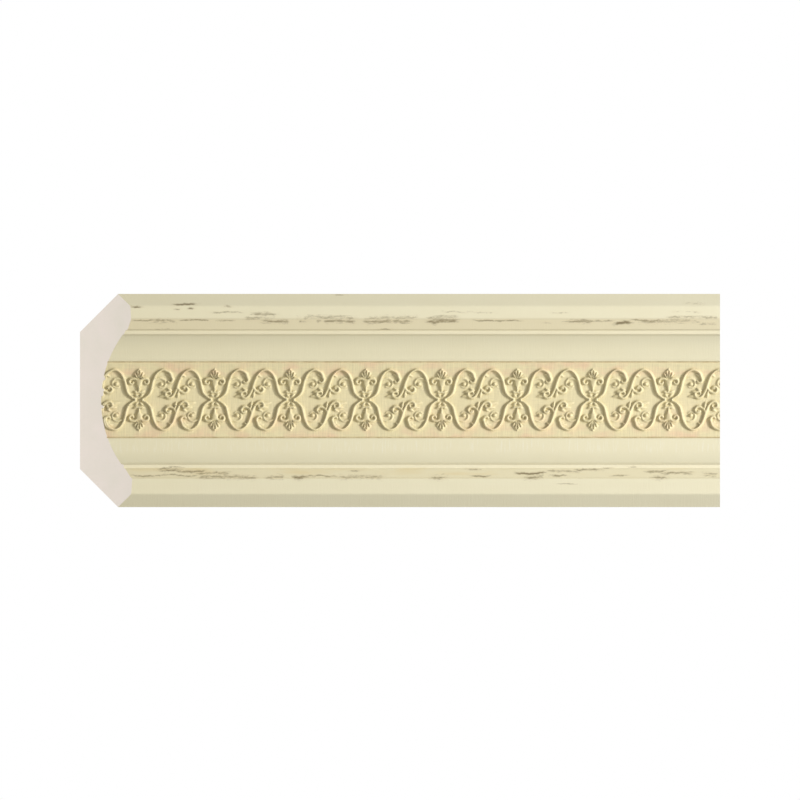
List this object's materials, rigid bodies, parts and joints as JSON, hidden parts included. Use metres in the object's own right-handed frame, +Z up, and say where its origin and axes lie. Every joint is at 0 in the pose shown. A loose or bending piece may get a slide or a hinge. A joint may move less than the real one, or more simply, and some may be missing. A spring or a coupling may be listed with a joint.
{
  "type": "cornice moulding length",
  "caption": "Crown cornice moulding in rigid foam, concave front with stepped edges and a scroll and palmette band in low relief, one end bevelled.",
  "frame": {"origin": "middle of the flat face that lies against the wall, half-way along the length", "axes": "+X along the moulding to its square end, +Y into the wall, +Z up to the ceiling"},
  "size_m": [0.2972, 0.07, 0.07],
  "materials": {
    "painted_foam": "satin antique cream paint"
  },
  "bodies": {
    "root": {"cornice_moulding": "painted_foam"}
  },
  "joints": []
}
